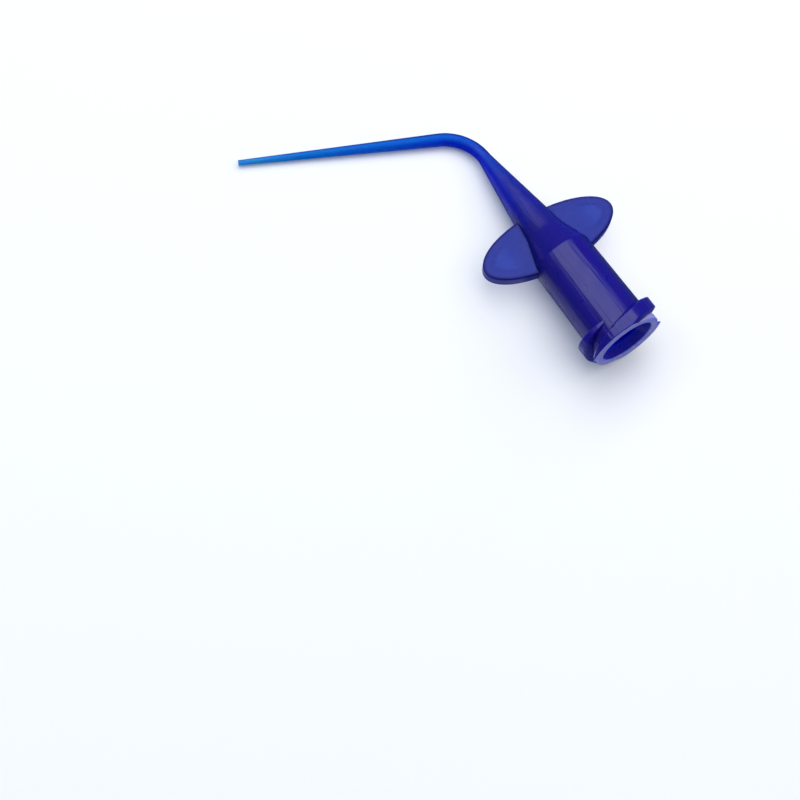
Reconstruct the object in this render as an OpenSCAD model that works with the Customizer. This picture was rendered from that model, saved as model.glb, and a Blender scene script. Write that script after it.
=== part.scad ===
// Pre-bent micro suction tip with a female Luer lock hub, finger wings and a drawn cannula.
// One moulding, split into its working regions. Millimetres.
// The origin is the centre of the mouth face. +X runs along the hub axis towards the cannula,
// +Y is the side the cannula bends to, +Z is square to the plane of the bend.

/* [Luer socket] */
// diameter of the socket opening at the mouth face
mouth_d = 5.4; // [4.6:0.02:5.6]
// depth of the conical lead-in behind the mouth face
lead_in_len = 1; // [0.4:0.1:1.6]
// diameter where the 6 percent sealing taper begins
taper_start_d = 4.3; // [4.27:0.005:4.32]
// length of the sealing taper
taper_len = 7.5; // [7:0.1:8]
// loss of diameter for each millimetre along the sealing taper
taper_rate = 0.06; // [0.055:0.001:0.065]
// diameter of the straight throat behind the sealing taper
throat_d = 3.7; // [3.4:0.05:3.84]

/* [Hub outside] */
// length of the round barrel, from the mouth face to the shoulder
barrel_len = 10.4; // [9:0.1:12]
// barrel diameter at the mouth face, before the thread and the rim
barrel_mouth_d = 6.22; // [5.9:0.02:6.5]
// barrel diameter where the shoulder begins
barrel_end_d = 5.94; // [5.6:0.02:6.2]
// outside diameter of the raised rim around the mouth
rim_d = 6.7; // [6.4:0.05:6.73]
// width of the raised rim along the hub
rim_width = 0.65; // [0.4:0.05:0.9]
// length of the shoulder cone
shoulder_len = 2.8; // [2:0.1:4]
// diameter where the shoulder meets the nozzle
shoulder_end_d = 4.12; // [3.6:0.02:4.6]
// length of the nozzle cone, from the shoulder to the start of the bend
nozzle_len = 10.08; // [8:0.01:12]

/* [Lock thread] */
// diameter over the lock thread crests
thread_d = 7.8; // [7.73:0.01:7.83]
// diameter over the low run-in part of each thread
run_in_d = 7.6; // [6.9:0.05:7.7]
// advance of each thread in one turn
thread_lead = 5; // [4.8:0.1:5.2]
// width of the thread crest along the hub
crest_width = 1.2; // [0.9:0.05:1.4]
// extra width of the thread at its foot, on each flank
flank_run = 0.3; // [0.2:0.05:0.45]
// distance from the mouth face at which the thread is cut off square
thread_end = 2.2; // [2:0.05:2.8]

/* [Wings] */
// span of the finger wings over both tips
wing_span = 14.4; // [12:0.1:17]
// width of the wing oval along the hub
wing_chord = 5.94; // [5:0.02:7]
// thickness of the wing plate
wing_thick = 1.05; // [0.6:0.05:1.4]
// distance from the mouth face to the middle of the wings
wing_at = 12.55; // [11:0.05:14]
// turn of the wings about the hub axis, away from the plane of the bend, in degrees
wing_roll = -2.2; // [-5:0.1:5]
// diameter of the round ejector marks under the wing tips
mark_d = 0.9; // [0.6:0.1:1.4]
// depth of the ejector marks
mark_depth = 0.06; // [0.03:0.01:0.1]

/* [Bend and cannula] */
// angle of the bend, away from straight on
bend_angle = 67.5; // [45:0.5:80]
// radius of the bend, at the middle of the tube
bend_r = 4.36; // [3:0.02:6]
// outside diameter of the tube in the bend
tube_d = 1.30; // [1.1:0.01:1.6]
// length of the straight cannula after the bend
cannula_len = 19.55; // [12:0.05:26]
// outside diameter at the outlet
outlet_d = 0.52; // [0.45:0.01:0.8]
// length of the last part, which carries the outlet
outlet_len = 2.4; // [1:0.1:4]
// radius of the soft outer edge at the outlet
lip_r = 0.05; // [0.02:0.01:0.08]
// diameter of the passage in the bend
passage_d = 0.56; // [0.4:0.02:0.8]
// diameter of the passage at the outlet
outlet_bore_d = 0.32; // [0.24:0.01:0.4]

/* [Hidden] */
$fn = 96;
eps = 0.5;
steps = 36;
shoulder_end = barrel_len + shoulder_len;
nozzle_end = shoulder_end + nozzle_len;
taper_end = lead_in_len + taper_len;
taper_end_d = taper_start_d - taper_rate * taper_len;
// the passage leaves the throat at the shoulder and keeps a wall of about two thirds of a millimetre
shoulder_bore_d = 2.8;
// the first thread's middle passes this distance from the mouth at the start of its full height
full_height_at = 0.75;
// angle about the hub at which a thread starts and ends, from +Z towards -Y
start_turn = -94;
end_turn = 158;
// straight sides that draw the wing outline
wing_facets = 144;
// distance of the ejector marks from the hub axis
mark_y = wing_span / 2 - 1.5;
// colours of the moulded plastic, from the thick hub to the thin cannula
hub_colour = [0.10, 0.08, 0.46];
wing_colour = [0.13, 0.20, 0.62];
nozzle_colour = [0.10, 0.14, 0.58];
tube_colour = [0.08, 0.34, 0.80];
tip_colour = [0.10, 0.44, 0.86];

// a solid of revolution about the hub axis, from points given as [distance from the mouth, radius]
module turned(points) {
  rotate([0, 90, 0])
    rotate_extrude()
      polygon([for (p = points) [p[1], p[0]]]);
}

// the hub's outside, filled: barrel, shoulder and nozzle
module hub_fill() {
  turned([
    [0, 0],
    [0, barrel_mouth_d / 2],
    [barrel_len, barrel_end_d / 2],
    [shoulder_end, shoulder_end_d / 2],
    [nozzle_end, tube_d / 2],
    [nozzle_end, 0]
  ]);
}

// the barrel with its lead-in, sealing taper and straight throat
module socket() {
  color(hub_colour)
    difference() {
      turned([
        [0, mouth_d / 2],
        [0, barrel_mouth_d / 2],
        [barrel_len, barrel_end_d / 2],
        [barrel_len, throat_d / 2],
        [taper_end, throat_d / 2],
        [taper_end, taper_end_d / 2],
        [lead_in_len, taper_start_d / 2]
      ]);
    }
}

// the low ring that stiffens the mouth
module mouth_rim() {
  // barrel radius at the back of the rim
  back_r = (barrel_mouth_d - (barrel_mouth_d - barrel_end_d) * rim_width / barrel_len) / 2;
  color(hub_colour)
    turned([
      [0, barrel_mouth_d / 2],
      [0, rim_d / 2],
      [rim_width, rim_d / 2],
      [rim_width, back_r]
    ]);
}

// one corner of the thread's cross-section, carried round the hub
function thread_point(turn, radius, edge) =
  let (
    middle = full_height_at + thread_lead * turn / 360,
    // the flanks lean: at the crest the half width is half of crest_width
    lean = flank_run * (thread_d / 2 - radius) / (thread_d / 2 - barrel_mouth_d / 2),
    half = crest_width / 2 + lean
  )
  [middle + edge * half, -radius * sin(turn), radius * cos(turn)];

// a helical bar with leaning flanks, taller and deeper than the thread
module thread_bar() {
  inner = barrel_end_d / 2 - 0.2;
  outer = thread_d / 2 + 0.4;
  turns = [for (i = [0:steps]) start_turn + (end_turn - start_turn) * i / steps];
  points = [for (t = turns) each [
    thread_point(t, inner, -1),
    thread_point(t, outer, -1),
    thread_point(t, outer, 1),
    thread_point(t, inner, 1)
  ]];
  sides = [for (i = [0:steps - 1], k = [0:3]) each [
    [4 * i + k, 4 * i + (k + 1) % 4, 4 * i + 4 + k],
    [4 * i + (k + 1) % 4, 4 * i + 4 + (k + 1) % 4, 4 * i + 4 + k]
  ]];
  polyhedron(points, concat([[3, 2, 1, 0]], sides,
    [[4 * steps, 4 * steps + 1, 4 * steps + 2, 4 * steps + 3]]));
}

// one lock thread: a low run-in over a quarter turn, then full height to the square cut-off
module lock_thread() {
  difference() {
    intersection() {
      thread_bar();
      union() {
        // run-in, on the side where the thread starts
        intersection() {
          rotate([0, 90, 0]) cylinder(d = run_in_d, h = thread_end);
          translate([-eps, 0, -eps]) cube([thread_end + 2 * eps, 8, 8]);
        }
        // full height, on the other three quarters
        difference() {
          rotate([0, 90, 0]) cylinder(d = thread_d, h = thread_end);
          translate([-eps, 0, -eps]) cube([thread_end + 2 * eps, 8, 8]);
        }
      }
    }
    hub_fill();
    turned([[-eps, 0], [-eps, rim_d / 2], [rim_width, rim_d / 2], [rim_width, 0]]);
  }
}

// the thread that runs in over the top of the hub
module thread_a() {
  color(hub_colour)
    lock_thread();
}

// the thread that runs in underneath, half a turn from the first
module thread_b() {
  color(hub_colour)
    rotate([180, 0, 0])
      lock_thread();
}

// the steeper cone between barrel and nozzle
module shoulder() {
  color(nozzle_colour)
    turned([
      [barrel_len, throat_d / 2],
      [barrel_len, barrel_end_d / 2],
      [shoulder_end, shoulder_end_d / 2],
      [shoulder_end, shoulder_bore_d / 2]
    ]);
}

// the long cone that carries the passage to the bend
module nozzle() {
  color(nozzle_colour)
    turned([
      [shoulder_end, shoulder_bore_d / 2],
      [shoulder_end, shoulder_end_d / 2],
      [nozzle_end, tube_d / 2],
      [nozzle_end, passage_d / 2]
    ]);
}

// the wing outline: an ellipse with its long axis across the hub
module wing_outline() {
  polygon([for (i = [0:wing_facets - 1])
    [
      wing_chord / 2 * cos(360 * i / wing_facets),
      wing_span / 2 * sin(360 * i / wing_facets)
    ]
  ]);
}

// one wing: half of the oval plate, outside the hub, with an ejector mark underneath
module wing(side) {
  difference() {
    rotate([wing_roll, 0, 0])
      translate([wing_at, 0, -wing_thick / 2])
        linear_extrude(wing_thick)
          intersection() {
            wing_outline();
            translate([-wing_chord, side > 0 ? 0 : -wing_span])
              square([2 * wing_chord, wing_span]);
          }
    hub_fill();
    rotate([wing_roll, 0, 0])
      translate([wing_at, side * mark_y, -wing_thick / 2 - eps])
        cylinder(d = mark_d, h = eps + mark_depth);
  }
}

// the wing on the side the cannula bends to
module wing_left() {
  color(wing_colour)
    wing(1);
}

// the wing on the outside of the bend
module wing_right() {
  color(wing_colour)
    wing(-1);
}

// the bent part of the tube
module elbow() {
  color(tube_colour)
    translate([nozzle_end, bend_r, 0])
      rotate([0, 0, -90])
        rotate_extrude(angle = bend_angle)
          translate([bend_r, 0])
            difference() {
              circle(d = tube_d);
              circle(d = passage_d);
            }
}

// puts its children at the end of the bend, with their +Z along the cannula
module after_bend() {
  translate([
    nozzle_end + bend_r * sin(bend_angle),
    bend_r * (1 - cos(bend_angle)),
    0
  ])
    rotate([0, 0, bend_angle])
      rotate([0, 90, 0])
        children();
}

// outside radius of the cannula at a distance from the bend
function cannula_r(at) = (tube_d + (outlet_d - tube_d) * at / cannula_len) / 2;

// radius of the passage at a distance from the bend
function passage_r(at) = (passage_d + (outlet_bore_d - passage_d) * at / cannula_len) / 2;

// the long straight taper of the tube
module cannula() {
  split = cannula_len - outlet_len;
  color(tube_colour)
    after_bend()
      rotate_extrude()
        polygon([
          [passage_r(0), 0],
          [cannula_r(0), 0],
          [cannula_r(split), split],
          [passage_r(split), split]
        ]);
}

// the last part of the tube, with a soft outer edge around the outlet
module outlet() {
  split = cannula_len - outlet_len;
  color(tip_colour)
    after_bend()
      rotate_extrude()
        polygon([
          [passage_r(split), split],
          [cannula_r(split), split],
          [outlet_d / 2, cannula_len - lip_r],
          [outlet_d / 2 - 0.3 * lip_r, cannula_len - 0.3 * lip_r],
          [outlet_d / 2 - lip_r, cannula_len],
          [outlet_bore_d / 2, cannula_len]
        ]);
}

socket();
mouth_rim();
thread_a();
thread_b();
shoulder();
nozzle();
wing_left();
wing_right();
elbow();
cannula();
outlet();
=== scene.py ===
import math

import bmesh
import bpy
from mathutils import Matrix, Vector


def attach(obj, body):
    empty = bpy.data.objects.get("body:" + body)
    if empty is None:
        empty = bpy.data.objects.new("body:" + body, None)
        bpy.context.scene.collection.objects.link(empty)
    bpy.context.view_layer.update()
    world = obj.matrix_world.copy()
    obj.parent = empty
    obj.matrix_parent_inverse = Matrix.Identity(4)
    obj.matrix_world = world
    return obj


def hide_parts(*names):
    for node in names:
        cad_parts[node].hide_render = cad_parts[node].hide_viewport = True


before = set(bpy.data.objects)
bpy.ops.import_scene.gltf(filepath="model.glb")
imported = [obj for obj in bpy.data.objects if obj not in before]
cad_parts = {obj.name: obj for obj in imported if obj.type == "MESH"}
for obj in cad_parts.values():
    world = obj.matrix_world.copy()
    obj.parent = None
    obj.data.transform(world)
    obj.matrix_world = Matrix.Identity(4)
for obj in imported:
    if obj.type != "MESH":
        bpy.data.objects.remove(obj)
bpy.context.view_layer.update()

MM = 0.001
BODY = "root"

# Sizes of the moulding, in millimetres, as in the CAD model.
MOUTH_R = 2.70
LEAD_IN = 1.0
TAPER_R0 = 2.15
TAPER_END = 8.5
TAPER_R1 = 1.925
THROAT_R = 1.85
BARREL_LEN = 10.4
BARREL_R0 = 3.11
BARREL_R1 = 2.97
RIM_R = 3.35
RIM_WIDTH = 0.65
SHOULDER_END = 13.2
SHOULDER_R = 2.06
SHOULDER_BORE = 1.4
NOZZLE_END = 23.28
TUBE_R = 0.65
PASSAGE_R = 0.28
BEND_R = 4.36
BEND = math.radians(67.5)
CANNULA_LEN = 19.55
OUTLET_R = 0.26
OUTLET_BORE_R = 0.16
CREST_R = 3.9
RUN_IN_R = 3.8
LEAD = 5.0
CREST_HALF = 0.6
FLANK = 0.3
THREAD_END = 2.2
THREAD_AT = 0.75
WING_AT = 12.55
WING_A = 7.2
WING_B = 2.97
WING_HALF = 0.525
WING_ROLL = math.radians(-2.2)
MARK_AT = 5.7
MARK_R = 0.45
MARK_DEPTH = 0.06

# Where the bend and the whole centreline end.
BEND_END = NOZZLE_END + BEND_R * BEND
TOTAL = BEND_END + CANNULA_LEN
END_X = NOZZLE_END + BEND_R * math.sin(BEND)
END_Y = BEND_R * (1 - math.cos(BEND))
# The distance that stands for 1 in the "along" attribute.
WHOLE = 48.0


# ---------------------------------------------------------------- profiles and the centreline
def barrel_radius(x):
    return BARREL_R0 + (BARREL_R1 - BARREL_R0) * x / BARREL_LEN


def lead_in_radius(x):
    return MOUTH_R + (TAPER_R0 - MOUTH_R) * x / LEAD_IN


def hub_radius(x):
    """Outer radius of barrel, shoulder and nozzle."""
    if x <= BARREL_LEN:
        return barrel_radius(x)
    if x <= SHOULDER_END:
        share = (x - BARREL_LEN) / (SHOULDER_END - BARREL_LEN)
        return BARREL_R1 + (SHOULDER_R - BARREL_R1) * share
    return SHOULDER_R + (TUBE_R - SHOULDER_R) * (x - SHOULDER_END) / (NOZZLE_END - SHOULDER_END)


def centre_at(s):
    """Point and heading at a distance along the centreline."""
    if s <= NOZZLE_END:
        return (s, 0.0), 0.0
    if s <= BEND_END:
        a = (s - NOZZLE_END) / BEND_R
        return (NOZZLE_END + BEND_R * math.sin(a), BEND_R * (1 - math.cos(a))), a
    d = s - BEND_END
    return (END_X + d * math.cos(BEND), END_Y + d * math.sin(BEND)), BEND


def centreline(x, y):
    """Distance from the mouth along the hub axis and then the tube, in millimetres."""
    if x <= NOZZLE_END:
        return x
    a = math.atan2(x - NOZZLE_END, BEND_R - y)
    if y < BEND_R and a <= BEND:
        return NOZZLE_END + BEND_R * a
    return BEND_END + (x - END_X) * math.cos(BEND) + (y - END_Y) * math.sin(BEND)


def between(profile, s):
    """Value at a distance, on straight lines between the profile's points."""
    for (s0, r0), (s1, r1) in zip(profile, profile[1:]):
        if s <= s1:
            return r0 + (r1 - r0) * (s - s0) / (s1 - s0)
    return profile[-1][1]


def softened(profile, s, reach):
    """The same value with the profile's corners eased over a short reach."""
    low = max(profile[0][0], s - reach)
    high = min(profile[-1][0], s + reach)
    reach = min(s - low, high - s)
    ends = between(profile, s - reach) + between(profile, s + reach)
    return (ends + 2 * between(profile, s)) / 4


def smooth(a, b, x):
    """0 before a, 1 after b, and an eased step between them."""
    t = min(1.0, max(0.0, (x - a) / (b - a)))
    return t * t * (3 - 2 * t)


# ---------------------------------------------------------------- mesh helpers
def new_object(name, verts, faces, sharp=35.0):
    """A smooth-shaded mesh from points in millimetres, with edges over the angle left sharp."""
    mesh = bpy.data.meshes.new(name)
    mesh.from_pydata([tuple(c * MM for c in v) for v in verts], [], faces)
    mesh.validate()
    mesh.update()
    for p in mesh.polygons:
        p.use_smooth = True
    mesh.set_sharp_from_angle(angle=math.radians(sharp))
    ob = bpy.data.objects.new(name, mesh)
    bpy.context.scene.collection.objects.link(ob)
    return ob


def set_values(ob, key, values):
    """Stores one number for each point of the mesh."""
    ob.data.attributes.new(key, "FLOAT", "POINT").data.foreach_set("value", values)


def rounded(points, radii, steps=6):
    """A closed outline with some of its corners rounded to an arc."""
    out = []
    n = len(points)
    for i in range(n):
        p = Vector(points[i])
        r = radii[i]
        if r <= 0:
            out.append(tuple(p))
            continue
        a = (Vector(points[i - 1]) - p).normalized()
        b = (Vector(points[(i + 1) % n]) - p).normalized()
        half = a.angle(b) / 2
        d = r / math.tan(half)
        centre = p + (a + b).normalized() * (r / math.sin(half))
        s = p + a * d - centre
        e = p + b * d - centre
        turn = math.atan2(s.x * e.y - s.y * e.x, s.dot(e))
        for k in range(steps + 1):
            t = turn * k / steps
            c, q = math.cos(t), math.sin(t)
            out.append((centre.x + s.x * c - s.y * q, centre.y + s.x * q + s.y * c))
    return out


def spaced(points, longest):
    """Adds points along the straight runs of a closed outline."""
    out = []
    n = len(points)
    for i in range(n):
        a, b = Vector(points[i]), Vector(points[(i + 1) % n])
        k = max(1, int(math.ceil((b - a).length / longest)))
        for j in range(k):
            p = a.lerp(b, j / k)
            out.append((p.x, p.y))
    return out


def lathe(name, outline, longest, segments=160):
    """Turns a closed outline of (x, radius) points about the hub axis."""
    outline = spaced(outline, longest)
    n = len(outline)
    verts, faces = [], []
    for s in range(segments):
        a = 2 * math.pi * s / segments
        c, q = math.cos(a), math.sin(a)
        for x, r in outline:
            verts.append((x, r * c, r * q))
    for s in range(segments):
        t = (s + 1) % segments
        for i in range(n):
            j = (i + 1) % n
            faces.append((s * n + i, t * n + i, t * n + j, s * n + j))
    return new_object(name, verts, faces)


def outward(ob):
    """Turns the faces of a closed mesh to look outwards."""
    bm = bmesh.new()
    bm.from_mesh(ob.data)
    bmesh.ops.recalc_face_normals(bm, faces=bm.faces[:])
    bm.to_mesh(ob.data)
    bm.free()
    ob.data.update()


def place(ob, slot, *nodes):
    """Gives a piece the attributes its plastic reads, and puts it in place of its CAD nodes."""
    outward(ob)
    # 'edge' carries the share of painted navy shade and 'mark' the share of a second tint; pieces
    # without them get zeros
    for name in ("edge", "mark"):
        if name not in ob.data.attributes:
            ob.data.attributes.new(name, "FLOAT", "POINT")
    set_values(ob, "along", [
        centreline(v.co.x / MM, v.co.y / MM) / WHOLE for v in ob.data.vertices])
    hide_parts(*nodes)
    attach(ob, BODY)
    return ob


# ---------------------------------------------------------------- materials
# Tint of the plastic at distances from the mouth, in millimetres along the hub and the tube.
TINTS = [
    (0.0, (0.008, 0.002, 0.235)),
    (10.0, (0.008, 0.002, 0.235)),
    (14.0, (0.009, 0.006, 0.235)),
    (19.0, (0.008, 0.016, 0.31)),
    (23.0, (0.003, 0.048, 0.44)),
    (28.0, (0.000, 0.102, 0.56)),
    (42.0, (0.003, 0.175, 0.60)),
    (48.0, (0.030, 0.30, 0.70)),
]
WING_TINT = (0.012, 0.028, 0.31)
# The rim's pale face: the plastic's blue with a painted reflection of the light.
RIM_TINT_WITH_PAINTED_REFLECTION = (0.285, 0.285, 0.69)
# The lead-in cone behind it, without that painted reflection.
LEAD_IN_TINT = (0.010, 0.004, 0.40)
# Painted glow in the bore and painted deep-blue shade on the bend's inner side.
GLOW_AND_DEEP_SHADE_TINT = (0.001, 0.003, 0.55)
# Painted navy shade on sides and wing borders; the flow lines darken towards it too.
NAVY_SHADE_AND_FLOW_TINT = (0.004, 0.004, 0.14)
# The paler painted floor of the wing's shallow dish.
PALER_DISH_FLOOR_TINT = (0.022, 0.066, 0.46)

# How far light wanders in the plastic, in millimetres of red, green and blue.
BODY_GLOW = (0.04, 0.14, 0.9)
TUBE_GLOW = (0.03, 0.08, 0.40)

# Scales of the noises: dye streaks, flow lines, slow waviness and the mould's satin grain.
DYE_SCALE = 320.0
FLOW_SCALE = 2600.0
WAVE_SCALE = 900.0
GRAIN_SCALE = 5200.0
DYE_SHIFT = 0.05
# Flow lines run along the hub, are full up to the first distance and gone at the second.
FLOW_FULL, FLOW_GONE = 21.0, 26.0
ALONG_HUB = (0.05, 1, 1)
# How much the flow lines darken: slope and offset, with nothing below zero.
MOTTLE, MOTTLE_FROM = 0.6, -0.27
HUB_ROUGH, TUBE_ROUGH = 0.30, 0.55
# The waviness varies the roughness in patches: the range of the factor, and its lowest value.
PATCH_RANGE, PATCH_LOW = 0.5, 0.75
# Bumps: strength and depth in metres of the grain and the waviness, and depth of the flow lines.
GRAIN_BUMP = (0.12, 0.00002)
WAVE_BUMP = (0.2, 0.00006)
FLOW_DEPTH = 0.00007


def noise(t, scale, detail, stretch=(1, 1, 1)):
    """Noise fixed to the piece; stretch below 1 draws it out along that axis."""
    coord = t.nodes.new("ShaderNodeTexCoord")
    mapping = t.nodes.new("ShaderNodeMapping")
    mapping.inputs["Scale"].default_value = stretch
    n = t.nodes.new("ShaderNodeTexNoise")
    n.inputs["Scale"].default_value = scale
    n.inputs["Detail"].default_value = detail
    t.links.new(coord.outputs["Object"], mapping.inputs["Vector"])
    t.links.new(mapping.outputs["Vector"], n.inputs["Vector"])
    return n.outputs["Fac"]


def attribute(t, name):
    n = t.nodes.new("ShaderNodeAttribute")
    n.attribute_name = name
    return n.outputs["Fac"]


def math_node(t, operation, *values):
    n = t.nodes.new("ShaderNodeMath")
    n.operation = operation
    for i, v in enumerate(values):
        if isinstance(v, (int, float)):
            n.inputs[i].default_value = v
        else:
            t.links.new(v, n.inputs[i])
    return n.outputs["Value"]


def mix(t, factor, a, b):
    """Blends colour a towards colour b."""
    n = t.nodes.new("ShaderNodeMix")
    n.data_type = "RGBA"
    for socket, v in ((n.inputs["Factor"], factor), (n.inputs[6], a), (n.inputs[7], b)):
        if isinstance(v, tuple):
            socket.default_value = (*v, 1)
        else:
            t.links.new(v, socket)
    return n.outputs[2]


def bump(t, height, strength, distance, below=None):
    n = t.nodes.new("ShaderNodeBump")
    n.inputs["Strength"].default_value = strength
    n.inputs["Distance"].default_value = distance
    t.links.new(height, n.inputs["Height"])
    if below is not None:
        t.links.new(below, n.inputs["Normal"])
    return n.outputs["Normal"]


def even(tint):
    """One tint over the whole length."""
    return [(0.0, tint), (WHOLE, tint)]


def plastic(name, glow, ribs=0.9, tints=TINTS, gloss=0.5, flow=ALONG_HUB, mark=PALER_DISH_FLOOR_TINT):
    """Dyed translucent polypropylene. Blue travels furthest in it, so shaded sides stay blue."""
    m = bpy.data.materials.new(name)
    m.use_nodes = True
    t = m.node_tree
    p = t.nodes["Principled BSDF"]
    p.inputs["IOR"].default_value = 1.49
    p.inputs["Specular IOR Level"].default_value = gloss
    p.inputs["Subsurface Weight"].default_value = 1.0
    p.inputs["Subsurface Radius"].default_value = glow
    p.inputs["Subsurface Scale"].default_value = MM
    # dye streaks shift the tint a little along the piece
    along = attribute(t, "along")
    streaks = noise(t, DYE_SCALE, detail=3.0)
    shift = math_node(t, "MULTIPLY_ADD", streaks, DYE_SHIFT, -DYE_SHIFT / 2)
    ramp = t.nodes.new("ShaderNodeValToRGB")
    stops = ramp.color_ramp.elements
    while len(stops) > 1:
        stops.remove(stops[0])
    for i, (at, c) in enumerate(tints):
        e = stops[0] if i == 0 else stops.new(at / WHOLE)
        e.position = at / WHOLE
        e.color = (*c, 1)
    t.links.new(math_node(t, "ADD", along, shift), ramp.inputs["Fac"])
    # 'mark' blends towards the second tint, painted light and shade on most pieces, and 'edge'
    # towards the painted navy shade
    colour = mix(t, attribute(t, "mark"), ramp.outputs["Color"], mark)
    colour = mix(t, attribute(t, "edge"), colour, NAVY_SHADE_AND_FLOW_TINT)
    # flow lines die out at the bend
    lines = noise(t, FLOW_SCALE, detail=3.0, stretch=flow)
    fade = t.nodes.new("ShaderNodeMapRange")
    fade.inputs["From Min"].default_value = FLOW_GONE / WHOLE
    fade.inputs["From Max"].default_value = FLOW_FULL / WHOLE
    t.links.new(along, fade.inputs["Value"])
    hub_share = fade.outputs["Result"]
    mottle = math_node(t, "MULTIPLY_ADD", lines, MOTTLE, MOTTLE_FROM)
    mottle = math_node(t, "MAXIMUM", mottle, 0.0)
    colour = mix(t, math_node(t, "MULTIPLY", mottle, hub_share), colour, NAVY_SHADE_AND_FLOW_TINT)
    t.links.new(colour, p.inputs["Base Color"])
    # the surface is duller from the bend on
    wave = noise(t, WAVE_SCALE, detail=2.0)
    dull = math_node(t, "MULTIPLY_ADD", hub_share, HUB_ROUGH - TUBE_ROUGH, TUBE_ROUGH)
    patches = math_node(t, "MULTIPLY_ADD", wave, PATCH_RANGE, PATCH_LOW)
    t.links.new(math_node(t, "MULTIPLY", dull, patches), p.inputs["Roughness"])
    # the mould's satin grain, its flow lines and a slow waviness
    n = bump(t, noise(t, GRAIN_SCALE, detail=2.0), *GRAIN_BUMP)
    n = bump(t, lines, ribs, FLOW_DEPTH, n)
    t.links.new(bump(t, wave, *WAVE_BUMP, n), p.inputs["Normal"])
    return m


# On the body, the second tint paints the bore's glow and the deep shade of the bend's inner side.
BODY_PLASTIC = plastic("body_plastic", BODY_GLOW, mark=GLOW_AND_DEEP_SHADE_TINT)
TUBE_PLASTIC = plastic("tube_plastic", TUBE_GLOW, gloss=0.15, mark=GLOW_AND_DEEP_SHADE_TINT)
# The shine and the glow change in small steps from the nozzle to the tube: where, and the shine.
NECK_STEPS = [(20.4, 0.44), (21.2, 0.38), (22.0, 0.33), (22.8, 0.28), (23.6, 0.24), (24.6, 0.20)]
NECK_END = 25.8
NECK_PLASTICS = []
for step, (_, shine) in enumerate(NECK_STEPS, 1):
    share = step / (len(NECK_STEPS) + 1)
    neck_glow = tuple(a + (b - a) * share for a, b in zip(BODY_GLOW, TUBE_GLOW))
    NECK_PLASTICS.append(plastic("neck_plastic_%d" % step, neck_glow, gloss=shine, mark=GLOW_AND_DEEP_SHADE_TINT))
# The rim's tint holds the painted pale reflection; its second tint, for the lead-in cone, leaves it
# out.
RIM_PLASTIC = plastic("rim_plastic", (0.05, 0.12, 0.6), tints=even(RIM_TINT_WITH_PAINTED_REFLECTION), mark=LEAD_IN_TINT)
THREAD_PLASTIC = plastic("thread_plastic", (0.04, 0.12, 0.9))
# The wing's second tint is the paler painted floor of its dish.
WING_PLASTIC = plastic("wing_plastic", (0.08, 0.2, 0.8), ribs=0.12, tints=even(WING_TINT),
                       gloss=0.22, flow=(1, 0.3, 1))


# ---------------------------------------------------------------- body: barrel to outlet
OUTER = [(RIM_WIDTH, barrel_radius(RIM_WIDTH)), (BARREL_LEN, BARREL_R1),
         (SHOULDER_END, SHOULDER_R), (NOZZLE_END, TUBE_R), (BEND_END, TUBE_R), (TOTAL, OUTLET_R)]
INNER = [(RIM_WIDTH, lead_in_radius(RIM_WIDTH)), (LEAD_IN, TAPER_R0), (TAPER_END, TAPER_R1),
         (TAPER_END + 0.02, THROAT_R), (BARREL_LEN, THROAT_R), (SHOULDER_END, SHOULDER_BORE),
         (NOZZLE_END, PASSAGE_R), (BEND_END, PASSAGE_R), (TOTAL, OUTLET_BORE_R)]
# The outlet's outer edge is rounded with this radius, in this many rings.
LIP = 0.05
LIP_RINGS = 6
# Spacing of the rings on the bend, how far ahead of it that starts, and the closest two rings.
BEND_STEP = 0.14
BEND_AHEAD = 1
CLOSEST = 0.008
# Corners of the profile are eased over the first reach on the hub and the second beyond it.
HUB_EASE, NECK_EASE = 0.09, 0.35
EASE_CHANGE = SHOULDER_END - 1
# The bore's painted glow fades over this length before the bend.
BORE_FADE = 8

# Painted shade on the sides, where one looks along the wall instead of through it: distance and
# share, and the angles from the outer side at which the painted shade is full and gone.
OUTER_SIDE = [(0, 0.9), (8, 0.95), (11, 0.95), (15, 0.85), (18, 0.7), (23, 0.75), (30, 0.8),
              (TOTAL, 0.6)]
OUTER_FULL = [(0, 47), (18, 46), (24, 64), (TOTAL, 68)]
OUTER_NONE = [(0, 64), (18, 64), (24, 84), (TOTAL, 92)]
# The same painted shade for the inner side, and the share of painted deep-blue shade there.
INNER_SIDE = [(0, 0.3), (8, 0.4), (10.5, 0.85), (15, 0.7), (17, 0.15), (21, 0.0), (TOTAL, 0.0)]
INNER_FULL, INNER_NONE = 14, 38
DEEP_SIDE = [(0, 0.0), (14, 0.0), (18, 0.55), (23, 0.85), (27, 0.8), (33, 0.35), (42, 0.0),
             (TOTAL, 0.0)]
DEEP_FULL, DEEP_NONE = 25, 80


def distances(profile, hub_step, tube_step, around):
    """Distances for a sweep: even steps, with close ones at each corner of the profile."""
    out = {profile[0][0], profile[-1][0]}
    s = profile[0][0]
    while s < TOTAL - LIP:
        out.add(s)
        s += hub_step if s < NOZZLE_END - BEND_AHEAD else (BEND_STEP if s < BEND_END else tube_step)
    for at, _ in profile[1:-1]:
        out.update(at + around * k for k in (-1.5, -1, -0.5, 0, 0.5, 1, 1.5))
    ordered = sorted(v for v in out if profile[0][0] <= v <= TOTAL)
    kept = [ordered[0]]
    for v in ordered[1:]:
        if v - kept[-1] > CLOSEST:
            kept.append(v)
    return kept


def side_tint(s, b):
    """Shares of painted navy shade and painted deep-blue shade at an angle round the section; the
    bend's inner side is at 0.
    """
    inner = abs(math.degrees(math.atan2(math.sin(b), math.cos(b))))
    outer = 180 - inner
    full, none = between(OUTER_FULL, s), between(OUTER_NONE, s)
    navy = between(OUTER_SIDE, s) * (1 - smooth(full, none, outer))
    navy = max(navy, between(INNER_SIDE, s) * (1 - smooth(INNER_FULL, INNER_NONE, inner)))
    return navy, between(DEEP_SIDE, s) * (1 - smooth(DEEP_FULL, DEEP_NONE, inner))


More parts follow.
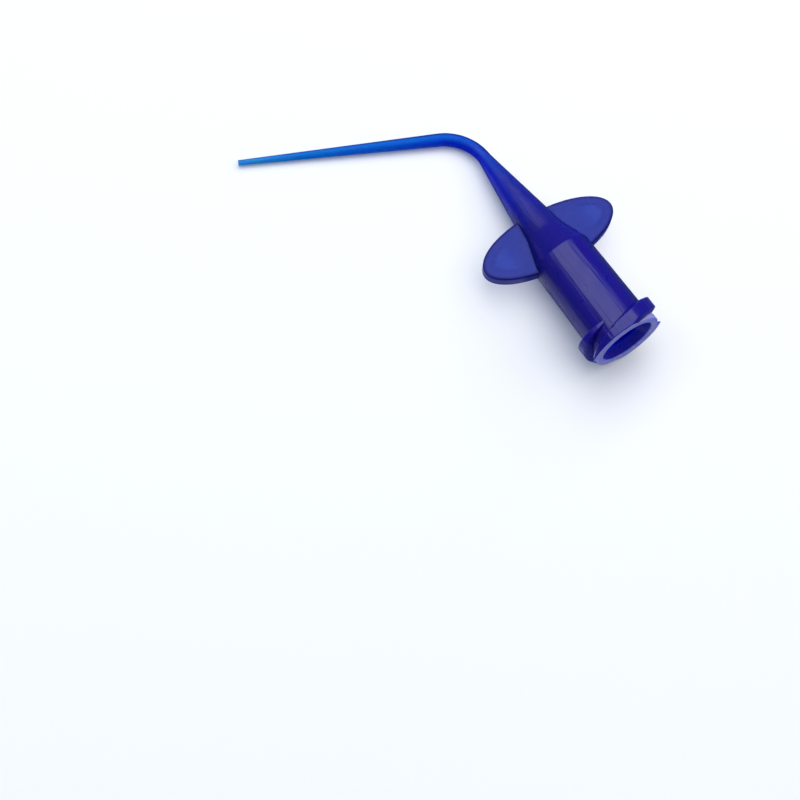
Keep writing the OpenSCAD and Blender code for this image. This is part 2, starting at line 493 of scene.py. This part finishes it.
def body(name, segments=144):
    """The continuous tube wall from behind the mouth ring to the outlet, with its passage."""
    verts, faces, painted_light_and_shade, edges = [], [], [], []

    def ring(s, r, bore=None):
        """One ring of points; on the bore it has an even painted glow, outside painted shade on its
        sides.
        """
        (x, y), a = centre_at(s)
        first = len(verts)
        for k in range(segments):
            b = 2 * math.pi * k / segments
            c, q = r * math.cos(b), r * math.sin(b)
            verts.append((x - c * math.sin(a), y + c * math.cos(a), q))
            navy, deep = side_tint(s, b) if bore is None else (0.0, bore)
            painted_light_and_shade.append(deep)
            edges.append(navy)
        return first

    outer = []
    for s in distances(OUTER, hub_step=0.35, tube_step=0.3, around=0.08):
        if s < TOTAL - LIP:
            ease = HUB_EASE if s < EASE_CHANGE else NECK_EASE
            outer.append(ring(s, softened(OUTER, s, ease)))
    for k in range(LIP_RINGS):
        a = math.pi / 2 * k / (LIP_RINGS - 1)
        outer.append(ring(TOTAL - LIP + LIP * math.sin(a), OUTLET_R - LIP * (1 - math.cos(a))))
    inner = [ring(s, between(INNER, s), min(1.0, max(0.0, (NOZZLE_END - s) / BORE_FADE)))
             for s in distances(INNER, hub_step=0.5, tube_step=0.5, around=0.06)]
    for rings in (outer, inner):
        for a, b in zip(rings, rings[1:]):
            for k in range(segments):
                t = (k + 1) % segments
                faces.append((a + k, a + t, b + t, b + k))
    for a, b in ((outer[0], inner[0]), (outer[-1], inner[-1])):
        for k in range(segments):
            t = (k + 1) % segments
            faces.append((a + k, b + k, b + t, a + t))
    ob = new_object(name, verts, faces, sharp=50)
    # 'mark' holds the painted deep shade and the bore's painted glow, 'edge' the painted navy shade
    set_values(ob, "mark", painted_light_and_shade)
    set_values(ob, "edge", edges)
    for m in (BODY_PLASTIC, *NECK_PLASTICS, TUBE_PLASTIC):
        ob.data.materials.append(m)
    for p in ob.data.polygons:
        s = centreline(p.center.x / MM, p.center.y / MM)
        p.material_index = sum(s > start for start, _ in NECK_STEPS) + (s > NECK_END)
    return ob


place(body("hub_nozzle_and_cannula"), "hub",
      "socket", "shoulder", "nozzle", "elbow", "cannula", "outlet")


# ---------------------------------------------------------------- mouth ring
# The pale face, a painted reflection of the light, is only the flat of the mouth; the lead-in
# cone behind it is dark, without that painted reflection.
PALE_DEPTH = 0.07
PALE_WIDTH = 0.3
# The ring's section with the rounding of its corners; the outside falls a little to the back.
RIM_FALL = 0.02
RIM_SECTION = [(0, MOUTH_R), (0, RIM_R), (RIM_WIDTH, RIM_R - RIM_FALL),
               (RIM_WIDTH, lead_in_radius(RIM_WIDTH))]
RIM_CORNERS = [0.09, 0.08, 0.08, 0]

rim = lathe("mouth_ring", rounded(RIM_SECTION, RIM_CORNERS), longest=0.12)
rim.data.materials.append(RIM_PLASTIC)
# 'mark' picks out the lead-in cone, which keeps its dark blue without the painted reflection
set_values(rim, "mark", [
    1.0 if v.co.x > PALE_DEPTH * MM and math.hypot(v.co.y, v.co.z) < (RIM_R - PALE_WIDTH) * MM
    else 0.0 for v in rim.data.vertices])
place(rim, "hub", "mouth_rim")


# ---------------------------------------------------------------- lock threads
# Turns in degrees: start, step from the low run-in to full height, start of the point, and end.
TURN_FIRST, TURN_STEP, TURN_POINT, TURN_LAST = -93.0, 0.0, 84, 143.0
STEP_REACH = 4.0
POINT_POWER = 1.4
SLICES = 180
ACROSS = 30
# The crest's soft edges and the rounding where the thread ends square.
CREST_SOFT = 0.12
CREST_EASE = 0.8
SQUARE_R = 0.09
# The front stands this far behind the mouth plane. The sides end this deep in the barrel and the
# floor that joins them lies deeper, and the thread is never narrower than the last value.
FACE = 0.006
FOOT = 0.02
THREAD_FLOOR = 0.06
NARROWEST = 0.02
# A face this near the mouth plane counts as part of it.
PALE_FACE = 0.02
TINY = 1e-6


def thread_height(x, middle, top):
    """Radius of the thread's surface at a place across it, with soft crest edges."""
    foot = barrel_radius(x)
    rise = (CREST_R - BARREL_R0) / FLANK
    front = foot + (x - (middle - CREST_HALF - FLANK)) * rise
    back = foot + ((middle + CREST_HALF + FLANK) - x) * rise
    r = min(front, back, top)
    gap = abs(min(front, back) - top)
    if gap < CREST_SOFT:
        r -= 0.5 * (CREST_SOFT - gap) ** 2 / CREST_SOFT * CREST_EASE
    return r


def thread(name, flip):
    """One lock thread: a low run-in, a step up to full height, a square back and a pointed end."""
    turns = [TURN_FIRST + (TURN_LAST - TURN_FIRST) * i / SLICES for i in range(SLICES + 1)]
    verts, faces, loop = [], [], ACROSS + 2
    for u in turns:
        middle = THREAD_AT + LEAD * u / 360
        top = RUN_IN_R + (CREST_R - RUN_IN_R) * smooth(
            TURN_STEP - STEP_REACH, TURN_STEP + STEP_REACH, u)
        if u > TURN_POINT:
            share = (u - TURN_POINT) / (TURN_LAST - TURN_POINT)
            top -= (CREST_R - BARREL_R0 - FOOT) * share ** POINT_POWER
        x0 = max(FACE, middle - CREST_HALF - FLANK)
        x1 = min(THREAD_END, middle + CREST_HALF + FLANK)
        x1 = max(x1, x0 + NARROWEST)
        a = math.radians(u)
        row = []
        for i in range(ACROSS):
            k = 0.5 - 0.5 * math.cos(math.pi * i / (ACROSS - 1))
            x = x0 + (x1 - x0) * k
            r = thread_height(x, middle, top)
            for edge, square in ((x - x0, x0 <= FACE), (x1 - x, x1 >= THREAD_END - TINY)):
                if square and edge < SQUARE_R:
                    r -= SQUARE_R - math.sqrt(max(0.0, SQUARE_R ** 2 - (SQUARE_R - edge) ** 2))
            row.append((x, max(r, barrel_radius(x) - FOOT)))
        inner = barrel_radius(LEAD_IN) - THREAD_FLOOR
        row += [(x1, inner), (x0, inner)]
        side = -1 if flip else 1
        for x, r in row:
            verts.append((x, -side * r * math.sin(a), side * r * math.cos(a)))
    n = len(turns)
    for s in range(n - 1):
        for i in range(loop):
            j = (i + 1) % loop
            faces.append((s * loop + i, s * loop + j, (s + 1) * loop + j, (s + 1) * loop + i))
    faces.append(tuple(range(loop)))
    faces.append(tuple(reversed(range((n - 1) * loop, n * loop))))
    ob = new_object(name, verts, faces, sharp=40)
    ob.data.materials.append(THREAD_PLASTIC)
    ob.data.materials.append(RIM_PLASTIC)
    # where the mouth plane cuts the thread, the face takes the rim's painted pale reflection
    for p in ob.data.polygons:
        if p.center.x < PALE_FACE * MM and abs(p.normal.x) > 0.9:
            p.material_index = 1
    return ob


place(thread("lock_thread_a", False), "hub", "thread_a")
place(thread("lock_thread_b", True), "hub", "thread_b")


# ---------------------------------------------------------------- wings
WING_COLS, WING_ROWS = 96, 48
# Rounding of the border, and how far inside it the painted shade line along the border is full
# and gone.
WING_EDGE_R = 0.13
BORDER_FULL, BORDER_NONE = 0.14, 0.36
# The shallow dish near the tip, drawn only in paint: where it begins along the wing, the faint
# painted shade line round it with its place, width and share, and the floor painted paler with its
# share.
DISH_FROM, DISH_FULL = 3.4, 5.2
LINE_AT, LINE_WIDTH, LINE_SHARE = 0.95, 0.13, 0.22
FLOOR_FROM, FLOOR_FULL, FLOOR_SHARE = 1.0, 1.5, 0.45
FLOOR_FADE, FLOOR_END = 5.4, 6.6
# Rows are evenly spaced by the first share and gather at the border by the power.
EVEN_ROWS = 0.03
ROW_POWER = 2.6
# The root lies this deep inside the hub, and the outline stands this far out where it ends.
ROOT_DEPTH = 0.03
ROOT_OUT = 0.02
# The ejector mark's wall is spread over this much to either side of its radius.
MARK_SOFT = 0.04
# The side wall's rings between its two corners, from 1 at the top to -1, and their share of
# painted border shade.
WALL_LEVELS = (0.6, 0.0, -0.6)
WALL_SHADE_SHARE = 0.06


def wing_outline(x):
    """How far the oval's edge stands from the hub axis."""
    return WING_A * math.sqrt(max(0.0, 1 - (x / WING_B) ** 2))


def wing_root(x, z):
    """Where the wing meets the hub, a little inside its surface."""
    r = hub_radius(WING_AT + x) - ROOT_DEPTH
    return math.sqrt(max(0.0, r * r - z * z))


def wing_end(sign):
    """Where the oval's outline runs into the hub, on the mouth's side or the nozzle's."""
    a, b = 0.0, sign * WING_B * 0.999
    for _ in range(60):
        c = (a + b) / 2
        if wing_outline(c) > wing_root(c, 0) + ROOT_OUT:
            a = c
        else:
            b = c
    return a


def wing_inset(x, y):
    """Distance from the outline, near enough for the narrow border."""
    f = math.sqrt((x / WING_B) ** 2 + (y / WING_A) ** 2)
    grad = math.sqrt((x / WING_B ** 2) ** 2 + (y / WING_A ** 2) ** 2) / max(f, TINY)
    return max(0.0, (1 - f) / max(grad, TINY))


def wing(name, side):
    """Half of an oval plate with a softly rounded edge, cut to the hub it grows from."""
    cols, rows = WING_COLS, WING_ROWS
    xa, xb = wing_end(-1), wing_end(1)
    verts, faces, index, edges, painted_light_and_shade = [], [], {}, [], []
    for i in range(cols + 1):
        x = xa + (xb - xa) * (0.5 - 0.5 * math.cos(math.pi * i / cols))
        yo = wing_outline(x)
        for j in range(rows + 1):
            share = j / rows
            k = EVEN_ROWS * share + (1 - EVEN_ROWS) * (1 - (1 - share) ** ROW_POWER)
            for lev in (1, -1):
                yi = min(wing_root(x, lev * WING_HALF), yo)
                y = yi + (yo - yi) * k
                d = wing_inset(x, y)
                h = WING_HALF
                if d < WING_EDGE_R:
                    h -= WING_EDGE_R - math.sqrt(WING_EDGE_R ** 2 - (WING_EDGE_R - d) ** 2)
                if lev < 0:
                    # the ejector mark underneath
                    off = math.hypot(x, y - MARK_AT)
                    h -= MARK_DEPTH * (1 - smooth(MARK_R - MARK_SOFT, MARK_R + MARK_SOFT, off))
                index[i, j, lev] = len(verts)
                verts.append((WING_AT + x, side * y, lev * h))
                # the painted border shade and the dish's painted shade line go to 'edge', the
                # dish's paler painted floor to 'mark'
                near_tip = smooth(DISH_FROM, DISH_FULL, y)
                line = LINE_SHARE * near_tip * math.exp(-((d - LINE_AT) / LINE_WIDTH) ** 2)
                edges.append(max(1 - smooth(BORDER_FULL, BORDER_NONE, d), line))
                painted_light_and_shade.append(FLOOR_SHARE * near_tip * smooth(FLOOR_FROM, FLOOR_FULL, d)
                             * (1 - smooth(FLOOR_FADE, FLOOR_END, y)))
    for i in range(cols):
        for j in range(rows):
            for lev in (1, -1):
                faces.append((index[i, j, lev], index[i + 1, j, lev],
                              index[i + 1, j + 1, lev], index[i, j + 1, lev]))

    # the side wall has its own rings between the two corners, so that it takes the plate's tint
    border = [(i, rows) for i in range(cols + 1)]
    border = [(0, j) for j in range(rows)] + border + [(cols, j) for j in range(rows - 1, -1, -1)]
    rings = [{b: index[b[0], b[1], 1] for b in border}]
    for z in WALL_LEVELS:
        ring = {}
        for b in border:
            hi, lo = Vector(verts[index[b[0], b[1], 1]]), Vector(verts[index[b[0], b[1], -1]])
            ring[b] = len(verts)
            verts.append(tuple(hi.lerp(lo, 0.5 - z / 2)))
            edges.append(WALL_SHADE_SHARE)
            painted_light_and_shade.append(0.0)
        rings.append(ring)
    rings.append({b: index[b[0], b[1], -1] for b in border})
    for upper, lower in zip(rings, rings[1:]):
        for b, c in zip(border, border[1:]):
            faces.append((upper[b], upper[c], lower[c], lower[b]))
    # the root lies inside the hub; its two end faces meet the side wall's rings
    for i in range(cols):
        face = [index[i, 0, 1]]
        if i == 0:
            face += [ring[0, 0] for ring in rings[1:-1]]
        face += [index[i, 0, -1], index[i + 1, 0, -1]]
        if i == cols - 1:
            face += [ring[cols, 0] for ring in reversed(rings[1:-1])]
        face.append(index[i + 1, 0, 1])
        faces.append(tuple(face))
    # the wings are turned a little about the hub axis, away from the plane of the bend
    c, q = math.cos(WING_ROLL), math.sin(WING_ROLL)
    verts = [(x, y * c - z * q, y * q + z * c) for x, y, z in verts]
    ob = new_object(name, verts, faces, sharp=45)
    set_values(ob, "edge", edges)
    set_values(ob, "mark", painted_light_and_shade)
    ob.data.materials.append(WING_PLASTIC)
    return ob


for wing_name, wing_side, wing_node in (("wing_left_plate", 1, "wing_left"),
                                        ("wing_right_plate", -1, "wing_right")):
    plate = place(wing(wing_name, wing_side), "wing", wing_node)
    # the plates let light through, so they throw no full shadow
    plate.visible_shadow = False


# ---------------------------------------------------------------- table, lights, camera
# The camera's axes, and its place in millimetres.
RIGHT = Vector((-0.53619, -0.84243, 0.05298))
UP = Vector((0.77982, -0.47037, 0.41308))
BACK = Vector((-0.32307, 0.26280, 0.90915))
CAMERA_AT = Vector((-29.200, 49.327, 98.502))

# The barrel's end by the shoulder rests on the table; the bend and the outlet stand just clear.
LIFT = 0.14
UNDER_BEND = NOZZLE_END + 2.2
OUTLET_X, OUTLET_Y = 34.79, 20.75
SLOPE_X = (BARREL_R1 - TUBE_R - LIFT) / (UNDER_BEND - BARREL_LEN)
TABLE_Z = -BARREL_R1 - SLOPE_X * BARREL_LEN
SLOPE_Y = (-OUTLET_R - LIFT - TABLE_Z - SLOPE_X * OUTLET_X) / OUTLET_Y
TABLE_NORMAL = Vector((-SLOPE_X, -SLOPE_Y, 1)).normalized()
# The table lies this far under that plane, and reaches this far to each side, in metres.
TABLE_GAP = 0.03
TABLE_HALF = 0.9

# The point the lights look at, in metres.
AIM = Vector((0.012, 0.004, 0))

# Outline of the bounce card, seen from above, and how far it lies under the table's plane.
CARD = ((-30, 3.8), (9, 3.8), (11.5, 2.4), (40, 2.4), (40, 14), (-30, 14))
CARD_UNDER = 0.3


def flat(name, points):
    """One flat face from points in metres."""
    mesh = bpy.data.meshes.new(name)
    mesh.from_pydata([tuple(p) for p in points], [], [tuple(range(len(points)))])
    mesh.update()
    ob = bpy.data.objects.new(name, mesh)
    bpy.context.scene.collection.objects.link(ob)
    return ob


def new_material(name):
    """A material with its node tree and its shader."""
    m = bpy.data.materials.new(name)
    m.use_nodes = True
    return m, m.node_tree, m.node_tree.nodes["Principled BSDF"]


def table():
    """A plain white table top, which doesn't show in the part's reflections."""
    u = TABLE_NORMAL.orthogonal().normalized()
    w = TABLE_NORMAL.cross(u)
    centre = Vector((0, 0, (TABLE_Z - TABLE_GAP) * MM))
    ob = flat("table_top", [centre + (u * a + w * b) * TABLE_HALF
                            for a, b in ((-1, -1), (1, -1), (1, 1), (-1, 1))])
    m, t, p = new_material("table_white")
    p.inputs["Roughness"].default_value = 0.7
    p.inputs["Specular IOR Level"].default_value = 0.2
    coord = t.nodes.new("ShaderNodeTexCoord")
    n = t.nodes.new("ShaderNodeTexNoise")
    n.inputs["Scale"].default_value = 12.0
    n.inputs["Detail"].default_value = 2.0
    t.links.new(coord.outputs["Object"], n.inputs["Vector"])
    ramp = t.nodes.new("ShaderNodeValToRGB")
    ramp.color_ramp.elements[0].color = (0.77, 0.785, 0.80, 1)
    ramp.color_ramp.elements[1].color = (0.785, 0.80, 0.81, 1)
    t.links.new(n.outputs["Fac"], ramp.inputs["Fac"])
    t.links.new(ramp.outputs["Color"], p.inputs["Base Color"])
    # a faint glow of its own keeps the shadows pale and a little blue
    p.inputs["Emission Color"].default_value = (0.66, 0.74, 0.92, 1)
    p.inputs["Emission Strength"].default_value = 0.14
    ob.data.materials.append(m)
    ob.visible_glossy = False


def area(name, direction, distance, size, power, colour, long_axis):
    """A soft rectangular light that looks at the tip, with its width along the given axis."""
    z = direction.normalized()
    x = (long_axis - z * long_axis.dot(z)).normalized()
    y = z.cross(x)
    light = bpy.data.lights.new(name, "AREA")
    light.shape = "RECTANGLE"
    light.size = size[0]
    light.size_y = size[1]
    light.energy = power
    light.color = colour
    ob = bpy.data.objects.new(name, light)
    turn = Matrix((x, y, z)).transposed().to_4x4()
    ob.matrix_world = Matrix.Translation(AIM + z * distance) @ turn
    bpy.context.scene.collection.objects.link(ob)
    return ob


def bounce_card():
    """A white card by the part that shows only in reflections, along the lower left sides."""
    ob = flat("bounce_card", [
        (x * MM, y * MM, (TABLE_Z + SLOPE_X * x + SLOPE_Y * y - CARD_UNDER) * MM) for x, y in CARD])
    m, _, p = new_material("card_white")
    p.inputs["Base Color"].default_value = (0.0, 0.0, 0.0, 1)
    p.inputs["Emission Color"].default_value = (0.60, 0.62, 0.75, 1)
    p.inputs["Emission Strength"].default_value = 1.0
    ob.data.materials.append(m)
    ob.visible_camera = False
    ob.visible_diffuse = False
    ob.visible_transmission = False
    ob.visible_shadow = False


def camera():
    """The camera stands where the photograph was taken from."""
    data = bpy.data.cameras.new("camera")
    data.sensor_width = 36.0
    data.lens = 55.45
    data.clip_start = 0.005
    data.clip_end = 5.0
    cam = bpy.data.objects.new("camera", data)
    turn = Matrix((RIGHT, UP, BACK)).transposed().to_4x4()
    cam.matrix_world = Matrix.Translation(CAMERA_AT * MM) @ turn
    bpy.context.scene.collection.objects.link(cam)
    bpy.context.scene.camera = cam


table()
key = area("key_softbox", direction=RIGHT * 0.50 + UP * 0.60 + BACK * 0.90, distance=0.45,
           size=(0.80, 0.80), power=3.0, colour=(1.0, 0.94, 0.87), long_axis=UP)
key.visible_glossy = False
area("overhead_strip", direction=Vector((0.32, 0.118, 0.94)), distance=0.42,
     size=(0.64, 0.25), power=1.17, colour=(0.92, 0.95, 1.0), long_axis=Vector((0, 1, 0)))
bounce_card()

world = bpy.data.worlds.new("studio")
bpy.context.scene.world = world
world.use_nodes = True
background = world.node_tree.nodes["Background"]
background.inputs["Color"].default_value = (0.42, 0.62, 1.0, 1)
background.inputs["Strength"].default_value = 0.22

camera()
bpy.context.scene.view_settings.view_transform = "Standard"
